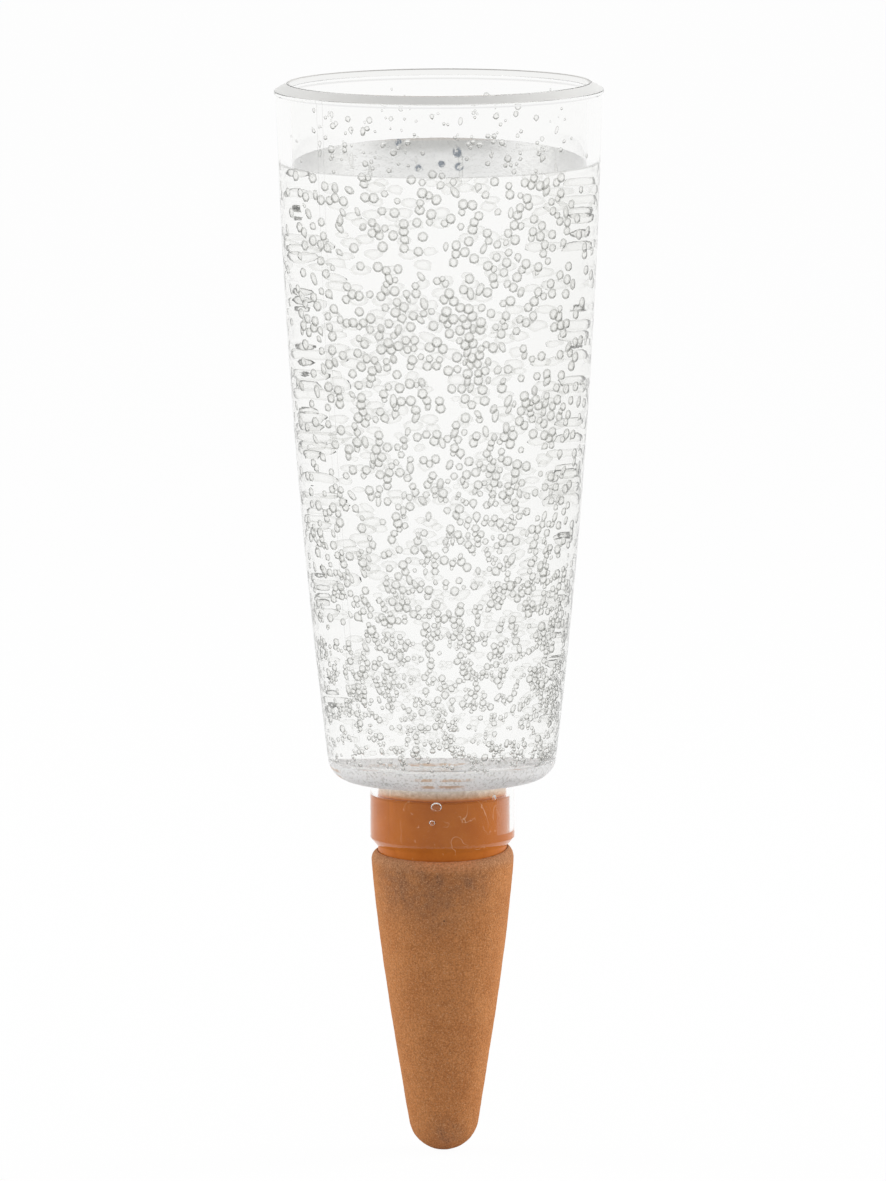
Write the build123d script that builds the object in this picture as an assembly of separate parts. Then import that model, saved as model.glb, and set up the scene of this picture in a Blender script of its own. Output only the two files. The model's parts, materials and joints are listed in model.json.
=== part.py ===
from build123d import *

import math
import os

# Self watering spike. Millimetres, +Z up, axis of revolution on Z.
# Z = 0 is the flat top of the clay cone, which is level with the soil in use.

# Plug: a hollow plastic adapter with a spigot that goes down into the clay
plug_radius = 15.35
plug_height = 14.3  # above the clay
plug_wall = 2.0
plug_floor = 2.0
plug_edge_bevel = 0.5
spigot_radius = 11.4
spigot_wall = 2.2
spigot_length = 12.0
spigot_lead_in = 0.6

# Bond between the spigot and the clay
bond_thickness = 0.6
bond_end_gap = 0.5  # the spigot reaches this far past the bond

# Clay cone
clay_mouth_wall = 5.05
clay_shoulder_round = 1.6
clay_depth = 71.7
clay_tip_radius = 8.5
clay_top_taper = 4.5  # degrees off the axis, under the shoulder
clay_tip_taper = 9.0  # degrees off the axis, where the dome begins
clay_side_wall = 4.7  # beside the dome
clay_tip_wall = 6.0
clay_ledge = 0.8  # step at the bottom of the socket
clay_socket_spare = 1.5  # room under the spigot

# Soft seal between the plug and the base of the cup
seal_height = 3.6
seal_width = 3.5
seal_clearance = 0.3
seal_edge_bevel = 0.4

# Neck sleeve of the cup, a push fit on the plug
sleeve_clearance = 0.08
sleeve_wall = 1.72
sleeve_gap = 2.2  # from the clay to the end of the sleeve
sleeve_chamfer = 1.8
sleeve_end_land = 0.25
sleeve_root_round = 0.8

# Cup
base_radius = 26.55  # where the wall would meet the underside
base_corner_round = 5.5
floor_thickness = 3.5
floor_corner_round = 2.5
water_hole_radius = 8.0
water_hole_bevel = 0.8
wall_thickness = 3.25
wall_height = 163.3  # from the underside to the lip
wall_bulge = 2.0  # how far the wall bows out from a straight cone
rim_radius = 38.6
lip_overhang = 0.4
lip_under_bevel = 0.4
lip_edge = 0.6
rim_slope_height = 2.1
rim_inner_bevel = 0.5

# Places that follow from the sizes above
socket_radius = spigot_radius + bond_thickness
clay_radius = socket_radius + clay_mouth_wall
socket_depth = spigot_length + clay_socket_spare
sleeve_bore = plug_radius + sleeve_clearance
sleeve_radius = sleeve_bore + sleeve_wall
underside_z = plug_height + seal_height
floor_z = underside_z + floor_thickness
lip_z = underside_z + wall_height


def turned(profile):
    """A profile drawn in X and Y, turned about the part's axis with its Y along Z."""
    return revolve(Plane.XZ * profile, Axis.Z)


def corner_at(profile, x, y):
    """The corner of a profile nearest to a point."""
    return profile.vertices().sort_by_distance((x, y))[0]


def box_profile(low, high):
    """A rectangle between two corners."""
    size = (high[0] - low[0], high[1] - low[1])
    return Pos(low[0], low[1]) * Rectangle(*size, align=(Align.MIN, Align.MIN))


def make_clay_cone():
    """Hollow clay with a rounded shoulder, sides that steepen upwards and a domed tip."""
    shoulder = min(clay_shoulder_round, 0.6 * clay_mouth_wall)
    dome_centre = -clay_depth + clay_tip_radius
    taper = math.radians(clay_tip_taper)
    dome_start = (clay_tip_radius * math.cos(taper), dome_centre - clay_tip_radius * math.sin(taper))
    down_side = (-math.sin(taper), -math.cos(taper))
    top_taper = math.radians(clay_top_taper)
    side_top = (clay_radius, -shoulder)

    top = Line((0, 0), (clay_radius - shoulder, 0))
    shoulder_arc = RadiusArc(top @ 1, side_top, shoulder)
    side = Spline(side_top, dome_start, tangents=[(-math.sin(top_taper), -math.cos(top_taper)), down_side])
    dome = CenterArc((0, dome_centre), clay_tip_radius, -clay_tip_taper, clay_tip_taper - 90)
    axis = Line((0, -clay_depth), (0, 0))
    outside = make_face(top + shoulder_arc + side + dome + axis)

    core_radius = clay_tip_radius - clay_side_wall
    core_centre = -clay_depth + clay_tip_wall + core_radius
    core_side = Line((socket_radius - clay_ledge, -socket_depth), (core_radius, core_centre))
    core_dome = CenterArc((0, core_centre), core_radius, 0, -90)
    core = make_face(
        Line((0, -socket_depth), core_side @ 0)
        + core_side
        + core_dome
        + Line((0, core_centre - core_radius), (0, -socket_depth))
    )
    socket = box_profile((0, -socket_depth), (socket_radius, 0))
    return turned(outside - core - socket)


def make_plug():
    """An open plastic cup with a flat shoulder on the clay and a spigot below it."""
    body = box_profile((0, 0), (plug_radius, plug_height))
    body = chamfer(corner_at(body, plug_radius, plug_height), min(plug_edge_bevel, plug_wall / 2))
    spigot = box_profile((0, -spigot_length), (spigot_radius, 0))
    spigot = chamfer(corner_at(spigot, spigot_radius, -spigot_length), min(spigot_lead_in, spigot_wall / 2))
    well = box_profile((0, plug_floor), (plug_radius - plug_wall, plug_height))
    bore = box_profile((0, -spigot_length), (spigot_radius - spigot_wall, plug_floor))
    return turned(body + spigot - well - bore)


def make_bond_ring():
    """The layer of adhesive round the spigot."""
    bond_depth = spigot_length - spigot_lead_in - bond_end_gap
    return turned(box_profile((spigot_radius, -bond_depth), (socket_radius, 0)))


def make_sealing_ring():
    """A flat soft ring that stands on the plug's rim."""
    outer = sleeve_bore - seal_clearance
    ring = box_profile((outer - seal_width, plug_height), (outer, underside_z))
    return turned(chamfer(ring.vertices(), min(seal_edge_bevel, seal_width / 4, seal_height / 4)))


def wall_profile(inset):
    """The area inside the cup's bowed wall, drawn in by an inset."""
    foot = (base_radius - inset, underside_z)
    head = (rim_radius - inset, lip_z)
    wall = SagittaArc(foot, head, -wall_bulge)
    return make_face(
        Line((0, underside_z), foot) + wall + Line(head, (0, lip_z)) + Line((0, lip_z), (0, underside_z))
    )


def make_reservoir_cup():
    """One clear moulding: bowed wall, sloped rim, floor with a water hole, and the neck sleeve."""
    lip_radius = rim_radius + lip_overhang
    rim_inner = rim_radius - wall_thickness
    lip_top = lip_z + lip_under_bevel + lip_edge
    rim_z = lip_top + rim_slope_height
    lip = make_face(
        Polyline(
            (0, lip_z),
            (rim_radius, lip_z),
            (lip_radius, lip_z + lip_under_bevel),
            (lip_radius, lip_top),
            (rim_inner, rim_z),
            (0, rim_z),
            close=True,
        )
    )
    outside = wall_profile(0)
    outside = fillet(corner_at(outside, base_radius, underside_z), base_corner_round)

    sleeve_end = sleeve_bore + sleeve_end_land
    sleeve = make_face(
        Polyline(
            (0, sleeve_gap),
            (sleeve_end, sleeve_gap),
            (sleeve_radius, sleeve_gap + sleeve_chamfer),
            (sleeve_radius, underside_z),
            (0, underside_z),
            close=True,
        )
    )
    solid = outside + sleeve + lip
    solid = fillet(corner_at(solid, sleeve_radius, underside_z), sleeve_root_round)

    above_floor = box_profile((0, floor_z), (rim_radius, rim_z))
    inside = wall_profile(wall_thickness) + box_profile((0, lip_z), (rim_inner, rim_z))
    inside = inside & above_floor
    inside = fillet(inside.vertices().group_by(Axis.Y)[0].sort_by(Axis.X)[-1], floor_corner_round)
    bore = box_profile((0, sleeve_gap), (sleeve_bore, underside_z))
    hole = box_profile((0, underside_z), (water_hole_radius, floor_z))
    section = solid - inside - bore - hole
    section = chamfer(corner_at(section, rim_inner, rim_z), rim_inner_bevel)
    section = chamfer(corner_at(section, water_hole_radius, floor_z), water_hole_bevel)
    return turned(section)


pieces = {
    "clay_cone": make_clay_cone(),
    "plug": make_plug(),
    "bond_ring": make_bond_ring(),
    "sealing_ring": make_sealing_ring(),
    "reservoir_cup": make_reservoir_cup(),
}

os.makedirs("parts", exist_ok=True)
for name, solid in pieces.items():
    export_step(solid, f"parts/{name}.step")
    print(name, round(solid.volume, 1), "mm3", solid.bounding_box())
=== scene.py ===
import json
import random
from math import acos, atan2, cos, dist, hypot, radians, sin, sqrt, tan, tau

import bpy
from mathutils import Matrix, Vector

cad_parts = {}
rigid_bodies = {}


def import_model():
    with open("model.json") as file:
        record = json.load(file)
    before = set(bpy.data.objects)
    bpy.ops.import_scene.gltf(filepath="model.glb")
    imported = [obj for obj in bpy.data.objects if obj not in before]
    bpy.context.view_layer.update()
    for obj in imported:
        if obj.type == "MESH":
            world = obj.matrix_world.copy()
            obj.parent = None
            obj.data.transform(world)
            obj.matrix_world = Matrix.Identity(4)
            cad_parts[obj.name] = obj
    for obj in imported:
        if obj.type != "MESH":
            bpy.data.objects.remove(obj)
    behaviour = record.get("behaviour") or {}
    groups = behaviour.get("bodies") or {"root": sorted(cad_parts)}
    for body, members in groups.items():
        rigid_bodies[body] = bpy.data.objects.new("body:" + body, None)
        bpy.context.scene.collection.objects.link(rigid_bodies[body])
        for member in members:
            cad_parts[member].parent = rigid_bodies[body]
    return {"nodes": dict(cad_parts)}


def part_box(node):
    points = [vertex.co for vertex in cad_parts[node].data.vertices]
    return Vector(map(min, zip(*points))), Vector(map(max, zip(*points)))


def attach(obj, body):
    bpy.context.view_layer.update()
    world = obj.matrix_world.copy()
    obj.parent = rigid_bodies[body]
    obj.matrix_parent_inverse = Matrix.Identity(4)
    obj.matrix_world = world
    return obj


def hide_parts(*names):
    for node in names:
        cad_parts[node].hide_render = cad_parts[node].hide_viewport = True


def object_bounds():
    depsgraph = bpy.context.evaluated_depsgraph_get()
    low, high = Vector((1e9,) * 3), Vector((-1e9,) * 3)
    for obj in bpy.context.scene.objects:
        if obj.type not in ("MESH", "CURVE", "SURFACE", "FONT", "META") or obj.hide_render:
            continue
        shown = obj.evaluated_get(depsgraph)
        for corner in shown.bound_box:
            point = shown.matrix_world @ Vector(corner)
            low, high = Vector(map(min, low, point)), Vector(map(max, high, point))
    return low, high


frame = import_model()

mm = 0.001  # sizes are in millimetres, Blender works in metres
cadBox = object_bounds()
cupLow, cupHigh = [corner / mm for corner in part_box("reservoir_cup")]
clayLow, clayHigh = [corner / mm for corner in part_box("clay_cone")]
plugHigh = [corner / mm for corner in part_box("plug")][1]
sealLow, sealHigh = [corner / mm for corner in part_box("sealing_ring")]
print("frame loaded, box in mm", [round(side / mm, 1) for side in cadBox[1] - cadBox[0]])

white = (1, 1, 1, 1)
touch = 0.01  # what is closer than this, touches
plasticBend = 1.49  # how light bends, as an IOR
waterBend = 1.333


# small helpers for modelling

def setMode(mode):
    bpy.ops.object.mode_set(mode=mode)


def selectAll(action="SELECT"):
    bpy.ops.mesh.select_all(action=action)


def selectOnly(*pieces):
    if bpy.context.mode != "OBJECT":
        setMode("OBJECT")
    bpy.ops.object.select_all(action="DESELECT")
    for piece in pieces:
        piece.select_set(True)
        bpy.context.view_layer.objects.active = piece


def applyModifier(piece, kind, **settings):
    selectOnly(piece)
    bpy.ops.object.modifier_add(type=kind)
    modifier = piece.modifiers[-1]
    for name, value in settings.items():
        setattr(modifier, name, value)
    bpy.ops.object.modifier_apply(modifier=modifier.name)


def drawOutline(name, corners, closed):
    # one vertex, pulled from corner to corner in the XZ plane
    selectOnly()
    bpy.ops.mesh.primitive_plane_add(size=mm)
    piece = bpy.context.object
    piece.name = name
    piece.data.name = name
    setMode("EDIT")
    bpy.ops.mesh.select_mode(type="VERT")
    selectAll()
    bpy.ops.mesh.merge(type="CENTER")
    bpy.ops.transform.translate(value=(corners[0][0] * mm, 0, corners[0][1] * mm))
    path = corners + corners[:1] if closed else corners
    for here, there in zip(path, path[1:]):
        step = ((there[0] - here[0]) * mm, 0, (there[1] - here[1]) * mm)
        bpy.ops.mesh.extrude_region_move(TRANSFORM_OT_translate={"value": step})
    selectAll()
    bpy.ops.mesh.remove_doubles(threshold=touch * mm)
    setMode("OBJECT")
    return piece


def roundCorners(piece, corners):
    # each corner is a point of the outline, the radius of its round and its steps
    for point, radius, steps in corners:
        selectOnly(piece)
        setMode("EDIT")
        selectAll("DESELECT")
        setMode("OBJECT")
        points = piece.data.vertices
        spot = Vector((point[0] * mm, 0, point[1] * mm))
        corner = min(points, key=lambda vertex: (vertex.co - spot).length)
        corner.select = True
        edges = [edge for edge in piece.data.edges if corner.index in edge.vertices]
        ends = [points[sum(edge.vertices) - corner.index] for edge in edges]
        sides = [end.co - corner.co for end in ends]
        reach = radius * mm / tan(sides[0].angle(sides[1]) / 2)  # up to the round
        setMode("EDIT")
        bpy.ops.mesh.bevel(offset=reach, segments=steps, profile=0.5, affect="VERTICES")
        setMode("OBJECT")


def turnOutline(piece, steps, smoothAngle=30):
    # spin once round Z, close the seam and the poles, turn the faces out
    selectOnly(piece)
    setMode("EDIT")
    selectAll()
    bpy.ops.mesh.spin(steps=steps, angle=tau, center=(0, 0, 0), axis=(0, 0, 1))
    selectAll()
    bpy.ops.mesh.remove_doubles(threshold=touch / 2 * mm)
    bpy.ops.mesh.normals_make_consistent(inside=False)
    setMode("OBJECT")
    bpy.ops.object.shade_smooth_by_angle(angle=radians(smoothAngle))


def arcPoints(centre, radius, fromAngle, toAngle, steps):
    span = toAngle - fromAngle
    angles = [radians(fromAngle + span * i / steps) for i in range(steps + 1)]
    return [(centre[0] + radius * cos(a), centre[1] + radius * sin(a)) for a in angles]


# small helpers for materials

def feed(tree, node, sockets):
    # each gets a plain value, or a link from another node's socket
    for name, value in sockets.items():
        if isinstance(value, bpy.types.NodeSocket):
            tree.links.new(value, node.inputs[name])
        else:
            node.inputs[name].default_value = value


def addNode(tree, kind, sockets=None, **settings):
    node = tree.nodes.new("ShaderNode" + kind)
    for name, value in settings.items():
        setattr(node, name, value)
    feed(tree, node, sockets or {})
    return node


def newMaterial(name):
    material = bpy.data.materials.new(name)
    material.use_nodes = True
    tree = material.node_tree
    return material, tree, tree.nodes["Principled BSDF"]


def objectSpots(tree):
    return addNode(tree, "TexCoord").outputs["Object"]


def placeOf(tree, vector):
    return addNode(tree, "SeparateXYZ", {"Vector": vector}).outputs


def stretched(tree, spots, scale):
    return addNode(tree, "Mapping", {"Vector": spots, "Scale": scale}).outputs["Vector"]


def maths(tree, operation, first, second=0.0):
    return addNode(tree, "Math", {0: first, 1: second}, operation=operation).outputs[0]


def times(tree, first, second):
    return maths(tree, "MULTIPLY", first, second)


def ramp(tree, value, low, high, toLow=0.0, toHigh=1.0, kind="LINEAR"):
    sockets = {
        "Value": value, "From Min": low, "From Max": high, "To Min": toLow, "To Max": toHigh,
    }
    return addNode(tree, "MapRange", sockets, interpolation_type=kind).outputs["Result"]


def fade(tree, value, low, high, toLow=0.0, toHigh=1.0):
    return ramp(tree, value, low, high, toLow, toHigh, "SMOOTHSTEP")


def mix(tree, share, first, second, blend="MIX"):
    sockets = {0: share, 6: first, 7: second}
    return addNode(tree, "Mix", sockets, data_type="RGBA", blend_type=blend).outputs[2]


def inMetres(lengths, add=0.0):
    return [(length + add) * mm for length in lengths]


noiseMiddle = 0.5  # noise lies evenly round this


def makeGrainGroup():
    # fine uneven grain: a mask round the middle and a height for bumps
    group = bpy.data.node_groups.new("fineGrain", "ShaderNodeTree")
    ways = {"INPUT": ("Vector", "Scale", "Contrast"), "OUTPUT": ("Mask", "Height")}
    for way, names in ways.items():
        for name in names:
            kind = "NodeSocketVector" if name == "Vector" else "NodeSocketFloat"
            group.interface.new_socket(name, in_out=way, socket_type=kind)
    given = group.nodes.new("NodeGroupInput").outputs
    noise = addNode(group, "TexNoise", {
        "Vector": given["Vector"], "Scale": given["Scale"], "Detail": 4.0, "Roughness": 0.65,
    }).outputs["Fac"]
    centred = maths(group, "SUBTRACT", noise, noiseMiddle)
    sockets = {0: times(group, centred, given["Contrast"]), 1: noiseMiddle}
    mask = addNode(group, "Math", sockets, operation="ADD", use_clamp=True).outputs[0]
    feed(group, group.nodes.new("NodeGroupOutput"), {"Mask": mask, "Height": noise})
    return group


grainGroup = makeGrainGroup()


def addGrain(tree, vector, scale, contrast):
    sockets = {"Vector": vector, "Scale": scale, "Contrast": contrast}
    outputs = addNode(tree, "Group", sockets, node_tree=grainGroup).outputs
    return outputs["Mask"], outputs["Height"]


def addBump(tree, height, strength, depth):
    sockets = {"Height": height, "Strength": strength, "Distance": depth * mm}
    return addNode(tree, "Bump", sockets).outputs["Normal"]


def vectorValue(tree, operation, first, second):
    node = addNode(tree, "VectorMath", {0: first, 1: second}, operation=operation)
    return node.outputs["Value"]


def nearSpot(tree, spots, place, reach):
    # 1 at a place, fading to 0 at this distance from it
    away = vectorValue(tree, "DISTANCE", spots, inMetres(place))
    return fade(tree, away, 0.0, reach * mm, 1.0, 0.0)


def facingAway(tree):
    # 0 where a surface faces the viewer, 1 at its edge
    return addNode(tree, "LayerWeight", {"Blend": 0.5}).outputs["Facing"]


def letLampsThrough(tree, shader, tint):
    # lamps and soft light shine through clear pieces, so what is inside is lit
    path = addNode(tree, "LightPath").outputs
    through = addNode(tree, "BsdfTransparent", {"Color": tint}).outputs[0]
    mixed = shader.outputs[0]
    for ray in ("Is Diffuse Ray", "Is Shadow Ray"):
        mixed = addNode(tree, "MixShader", {0: path[ray], 1: mixed, 2: through}).outputs[0]
    feed(tree, tree.nodes["Material Output"], {"Surface": mixed})


def clearMaterial(name, bend, lampTint):
    material, tree, shader = newMaterial(name)
    feed(tree, shader, {
        "Base Color": white, "Transmission Weight": 1.0, "IOR": bend, "Roughness": 0.0,
        "Specular Tint": (0.4, 0.4, 0.4, 1),  # clear pieces mirror softly
    })
    letLampsThrough(tree, shader, lampTint)
    return material, tree, shader


# the clear cup: bowed wall, sloped rim, floor with a water hole, neck sleeve

cup = {
    "steps": 96,  # round the axis
    "wallRows": 20,
    "base": 26.55,  # where the wall would meet the underside
    "baseRound": 5.5,
    "bulge": 2.0, "wall": 3.25, "floor": 3.5, "floorRound": 2.5, "hole": 8.0, "holeRound": 0.8,
    "lipOver": 0.4, "lipBevel": 0.4, "lipEdge": 0.6,
    "lipHeight": 163.3,  # from the underside to the lip
    "lipRound": 0.25, "lipUnderRound": 0.12, "rimSlope": 2.1, "rimRound": 0.5,
    "sleeveGap": 0.08, "sleeveWall": 1.72, "sleeveChamfer": 1.8, "sleeveRound": 0.2,
    "sleeveLand": 0.25, "sleeveRoot": 0.8,
    # clear plastic, with painted shade: a shade greyer down the right side
    "tint": (0.985, 0.985, 0.98, 1),
    "lamp": (0.97, 0.97, 0.97, 1),  # tint of passing lamp light
    "rightShadeTint": (0.95, 0.95, 0.94, 1), "rightFrom": (14, 32), "rightTop": (166, 160),
    "seamTurn": radians(-48),  # the mould's parting plane
    "seamTint": (0.72, 0.72, 0.71, 1), "seamWidth": (0.04, 0.14),
    "seamFrom": -5,  # it shows on the left only
    "ripple": (40.0, 1.0),  # grains: scale and contrast
    "rippleBump": (0.05, 0.4),  # bumps: strength and depth
    # the sleeve's bore, where a film of water joins it to the plug
    "wetBend": 1.118,  # from plastic to water
    "dampBend": 1.43,  # hardly any water on the right
    "dampFrom": 12.5, "dampLow": 5.5,
    # the rim, in painted shade: satin grey slope, grey edge
    "slopeFrom": 1.1,  # above the lip
    "slopeFacing": (0.8, 0.93), "rimGrain": (250.0, 1.0),
    "rimShadeGrey": ((0.79, 0.785, 0.765, 1), (0.87, 0.865, 0.845, 1)),
    "rimSideShade": (0.78, 0.78, 0.765, 1), "rimSideFrom": (30, 37), "rimInside": (0.92, 0.92, 0.91, 1),
    "rimLamp": (0.95, 0.95, 0.95, 1), "edgeFacing": 0.2, "rimEdgeShade": (0.6, 0.59, 0.57, 1),
    # the frosted base
    "frostFacing": -0.05,
    "frostClear": 1.0,  # a clear ring round the sleeve
    "frostLamp": (0.9, 0.9, 0.9, 1),
    "frostGrain": (1500.0, 6.0), "frost": ((0.66, 0.65, 0.635, 1), white),
    "frostWhite": 0.42,  # white from here on in the mask
    "frostRough": (0.3, 0.6), "frostBump": (0.5, 0.4),
    # painted reflection: the plug's orange, as seen through the base
    "gleam": (0.58, 0.29, 0.09, 1),  # the plug, seen through the base
    "gleamShare": 0.75,
    "gleamHeights": [(19.4, 6.5), (21.2, 8.5)],  # and how far each reaches to the sides
    "gleamTurns": [radians(turn) for turn in (-90, 15, 95, 190)],
    "gleamIn": 2,  # from the base's radius
    "gleamWidth": (0.2, 0.5), "gleamEnds": 0.35, "gleamGrain": (450.0, 5.0), "gleamRagged": 0.6,
}
underside = sealHigh.z
floorTop = underside + cup["floor"]
lipZ = underside + cup["lipHeight"]
lipTop = lipZ + cup["lipBevel"] + cup["lipEdge"]
rimTop = lipTop + cup["rimSlope"]
rimRadius = cupHigh.x - cup["lipOver"]
rimInner = rimRadius - cup["wall"]
boreRadius = plugHigh.x + cup["sleeveGap"]
sleeveRadius = boreRadius + cup["sleeveWall"]


def wallRadius(z):
    # outside of the bowed wall, an arc through its foot and its head
    foot, head, bulge = (cup["base"], underside), (rimRadius, lipZ), cup["bulge"]
    chord = dist(foot, head)
    radius = (chord ** 2 / 4 + bulge ** 2) / (2 * bulge)
    along = ((head[0] - foot[0]) / chord, (head[1] - foot[1]) / chord)
    middle = ((foot[0] + head[0]) / 2, (foot[1] + head[1]) / 2)
    centreX = middle[0] - (radius - bulge) * along[1]
    centreZ = middle[1] + (radius - bulge) * along[0]
    return centreX + sqrt(radius ** 2 - (z - centreZ) ** 2)


def wallPoints(fromZ, toZ, inset):
    rows = cup["wallRows"]
    heights = [fromZ + (toZ - fromZ) * i / rows for i in range(rows + 1)]
    return [(wallRadius(z) - inset, z) for z in heights]


def makeCup():
    end = cupLow.z
    lip = cupHigh.x
    chamferTop = (sleeveRadius, end + cup["sleeveChamfer"])
    outline = [(boreRadius, end), (boreRadius + cup["sleeveLand"], end)]
    outline += [chamferTop, (sleeveRadius, underside)]
    outline += wallPoints(underside, lipZ, 0)
    outline += [(lip, lipZ + cup["lipBevel"]), (lip, lipTop), (rimInner, rimTop)]
    outline += wallPoints(lipZ, floorTop, cup["wall"])
    outline += [(cup["hole"], floorTop), (cup["hole"], underside)]
    outline += [(boreRadius, z) for z in (underside, plugHigh.z, cup["dampLow"])]
    piece = drawOutline("cup", outline, True)
    roundCorners(piece, [
        ((cup["base"], underside), cup["baseRound"], 8),
        ((wallRadius(floorTop) - cup["wall"], floorTop), cup["floorRound"], 6),
        ((sleeveRadius, underside), cup["sleeveRoot"], 4),
        ((cup["hole"], floorTop), cup["holeRound"], 4),
        ((rimInner, rimTop), cup["rimRound"], 4),
        ((lip, lipTop), cup["lipRound"], 3),
        ((lip, lipZ + cup["lipBevel"]), cup["lipUnderRound"], 2),
        (chamferTop, cup["sleeveRound"], 3),
    ])
    turnOutline(piece, cup["steps"])
    applyModifier(piece, "WEIGHTED_NORMAL", keep_sharp=True)
    return piece


cupPiece = makeCup()
print("cup turned", len(cupPiece.data.polygons), "faces")


# air bubbles in the cup's wall, floor and sleeve

bubbles = {
    "seed": 23,
    "groups": 600,
    "company": 0.97,  # how likely each is to have another beside it
    "apart": 1.1,  # between groups
    "merge": 0.6,  # in a group they run into each other, to this share of their radii
    "wander": 2.0,  # radians that a chain of them turns at each step
    "cell": 3.5,  # of the grid that finds neighbours
    "margin": 0.2,  # clear plastic left round each bubble
    "lowest": 23.2, "highest": 180.5, "waterLine": 165.0,
    # radius: it grows with height, up to a share of the way to the water line
    "least": 0.44, "gain": 0.96, "grownAt": 0.65, "growth": 0.62, "spread": 0.22,
    "radii": (0.38, 1.42),
    "airRadii": [(0.35, 0.6), (0.6, 1.1)],  # above the water
    # density: the least of these lines over the height
    "densities": [(0.45, 2.4), (1.12, -0.8)],
    "airDensity": 0.07,
    "sideClear": 2.0,  # how sharply they thin out to the sides, higher up
    "sideFrom": (0.2, 0.3),  # where that begins, and over how much of the height
    "drift": 0.35,  # how much denser they are on the right, low down
    "behind": 0.75,  # how dense they are at the back
    # shape: how common each is, and the segments and rings of each size
    "shapes": {"round": 5, "drop": 6, "long": 2}, "longStretch": (0.8, 0.8, 1.45),
    "dropFoot": -0.45, "dropWaist": (0.85, 0.85, 1),
    "shrink": 0.92,  # of the drops and the long ones
    "fine": (7, 5), "coarse": (6, 4), "small": (6, 3), "fineFrom": 1.33, "smallTo": 0.8,
    "lean": 0.7,  # radians, their lower ends point inwards
    "leanSpread": 0.25, "uneven": 0.08,
    # in the floor
    "floorCount": 42, "floorRadii": (0.3, 0.55), "floorMargin": 0.8,
    "floorSpan": (1.5, -4),  # from the hole and from the base's radius
    # the few in the sleeve: x, z, half width, half height, half depth
    "roundest": (16, 10),
    "sleeve": [
        (-1.4, 13.4, 1.35, 1.1, 0.78),
        (-2.4, 9.6, 0.75, 0.7, 0.7),
        (12.0, 14.8, 0.6, 0.7, 0.6),
    ],
    # their skin, in painted shade
    "bend": 1.03, "lamp": (0.99, 0.99, 0.99, 1), "hollow": (0.95, 0.95, 0.94, 1),
    "ring": (0.1, 0.4), "ringShade": (0.69, 0.69, 0.675, 1), "foot": (0.3, -0.7),
    # painted shade at the rings' lower ends
    "footShade": (0.47, 0.47, 0.455, 1),  # the rings are darker at their lower ends
    "far": (3.4, 4.6),  # surfaces that light has passed
    "farGrey": (0.88, 0.88, 0.87, 1),  # rings seen through the water
    "farHollow": (0.975, 0.975, 0.97, 1),
}


def makeBubbleShape(name, segments, rings):
    # a unit hollow: round, drop with a pointed foot, or long
    selectOnly()
    bpy.ops.mesh.primitive_uv_sphere_add(segments=segments, ring_count=rings, radius=1)
    shape = bpy.context.object
    shape.name = "bubble-" + name
    bpy.ops.object.shade_smooth()
    setMode("EDIT")
    selectAll()
    bpy.ops.mesh.flip_normals()  # faces point into the hollow
    if name == "long":
        bpy.ops.transform.resize(value=bubbles["longStretch"])
    if name == "drop":
        bpy.ops.mesh.select_mode(type="VERT")
        selectAll("DESELECT")
        setMode("OBJECT")
        min(shape.data.vertices, key=lambda vertex: vertex.co.z).select = True
        setMode("EDIT")
        bpy.ops.transform.translate(value=(0, 0, bubbles["dropFoot"]))
        bpy.ops.mesh.select_more()
        bpy.ops.transform.resize(value=bubbles["dropWaist"])
    setMode("OBJECT")
    return shape


def heightShare(z):
    # 0 at the floor of the cup, 1 at the water line
    return (z - bubbles["lowest"]) / (bubbles["waterLine"] - bubbles["lowest"])


def bubbleRadius(draw, z):
    # small at the bottom, large towards the water line, middling above it
    share = heightShare(z)
    if share > 1:
        return draw.choice([draw.uniform(*radii) for radii in bubbles["airRadii"]])
    grown = min(1, max(0, share) / bubbles["grownAt"]) ** bubbles["growth"]
    radius = draw.gauss(bubbles["least"] + bubbles["gain"] * grown, bubbles["spread"])
    smallest, largest = bubbles["radii"]
    return min(largest, max(smallest, radius))


def bubbleDensity(angle, z):
    # densest low down, thinner up to the water line, sparse above it; fewer at the back
    share = heightShare(z)
    level = min(start + slope * share for start, slope in bubbles["densities"])
    if share > 1:
        level = bubbles["airDensity"]
    sideLow, sideSpan = bubbles["sideFrom"]
    clear = bubbles["sideClear"] * min(1.0, max(0.0, (share - sideLow) / sideSpan))
    level *= abs(sin(angle)) ** clear
    level *= 1 + bubbles["drift"] * cos(angle) * max(0, 1 - share)
    return level * (bubbles["behind"] + (1 - bubbles["behind"]) * (1 - sin(angle)) / 2)


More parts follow.
